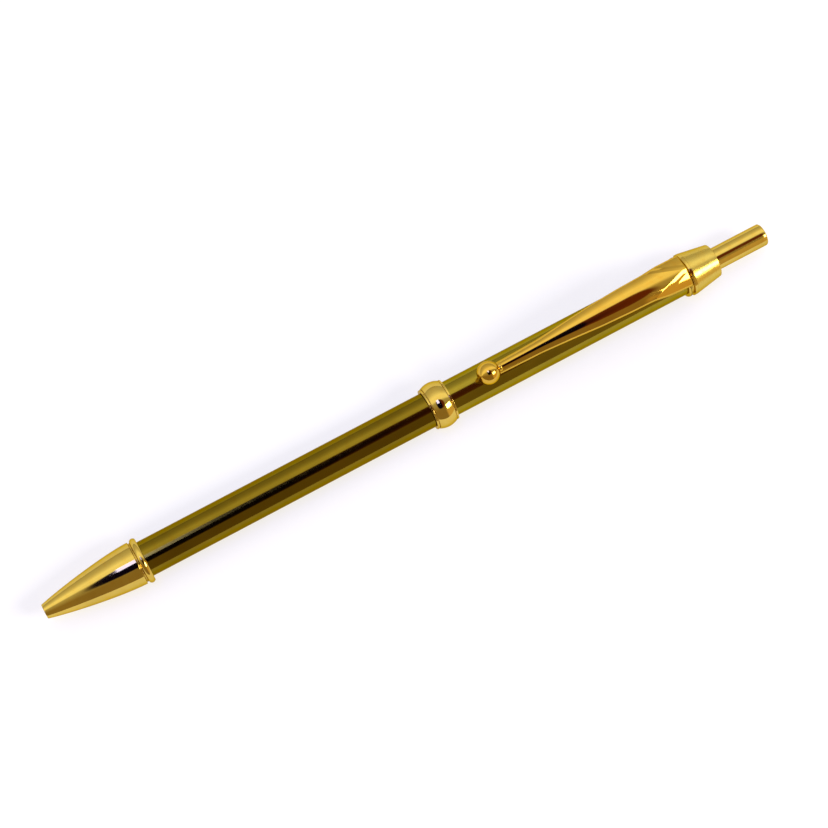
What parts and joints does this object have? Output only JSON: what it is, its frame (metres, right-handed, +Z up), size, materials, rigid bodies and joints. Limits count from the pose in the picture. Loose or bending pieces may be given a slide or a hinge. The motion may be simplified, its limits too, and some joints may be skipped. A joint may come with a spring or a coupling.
{
  "type": "retractable ballpoint pen",
  "caption": "Slim click ballpoint pen with gold-plated nib, centre band, ball-ended clip and push button on olive-brass barrels; the refill advances and the halves unscrew.",
  "frame": {"origin": "under the middle of the pen's length, on the surface that it lies on", "axes": "+X along the pen from the writing end to the button, +Z up through the clip"},
  "size_m": [0.1544, 0.0092, 0.0127],
  "materials": {
    "gold_plate": "polished gold plating over brass",
    "olive_brass": "polished olive-toned brass",
    "raw_brass": "turned brass",
    "cam_plastic": "moulded acetal",
    "refill_metal": "drawn metal tube",
    "tip_metal": "turned nickel silver",
    "ball_carbide": "ground hard metal",
    "ink": "paste ink",
    "spring_steel": "spring wire"
  },
  "bodies": {
    "upper_half": {"upper_barrel": "olive_brass", "upper_bush": "raw_brass", "cam_sleeve": "cam_plastic", "clip_ring": "gold_plate", "spacer_ring": "gold_plate", "cap_cone": "gold_plate"},
    "clip": {"clip_arm": "gold_plate", "clip_ball": "gold_plate", "clip_collar": "gold_plate"},
    "button": {"push_button": "gold_plate", "plunger": "cam_plastic"},
    "refill": {"rotor": "cam_plastic", "refill_cap": "refill_metal", "refill_tube": "refill_metal", "ink_column": "ink", "refill_holder": "tip_metal", "refill_tip": "tip_metal", "writing_ball": "ball_carbide"},
    "band": {"centre_band": "gold_plate"},
    "lower_half": {"nib_cone": "gold_plate", "nib_bushing": "raw_brass", "lower_barrel": "olive_brass", "lower_coupler": "raw_brass", "nib_spring": "spring_steel"}
  },
  "joints": [
    {"name": "button_press", "type": "slide", "parent": "upper_half", "child": "button", "axis": [-1, 0, 0], "range_m": [0, 0.006], "stiffness_N_per_m": 400, "springref_m": -0.0035},
    {"name": "refill_advance", "type": "slide", "parent": "upper_half", "child": "refill", "axis": [-1, 0, 0], "range_m": [0, 0.006], "deforming": ["nib_spring"]},
    {"name": "clip_flex", "type": "hinge", "parent": "upper_half", "child": "clip", "pos_m": [0.05823, 0, 0.00882], "axis": [0, 1, 0], "range_deg": [0, 3], "stiffness_Nm_per_rad": 3, "springref_deg": -0.57},
    {"name": "band_travel", "type": "slide", "parent": "upper_half", "child": "band", "axis": [-1, 0, 0], "range_m": [0, 0.006]},
    {"name": "lower_half_unscrew", "type": "hinge", "parent": "band", "child": "lower_half", "pos_m": [0, 0, 0.00462], "axis": [-1, 0, 0], "range_deg": [0, 2880]}
  ],
  "couplings": [
    {"joint": "refill_advance", "follows": "button_press", "ratio": 1},
    {"joint": "band_travel", "follows": "lower_half_unscrew", "m_per_rad": 0.00011936}
  ]
}
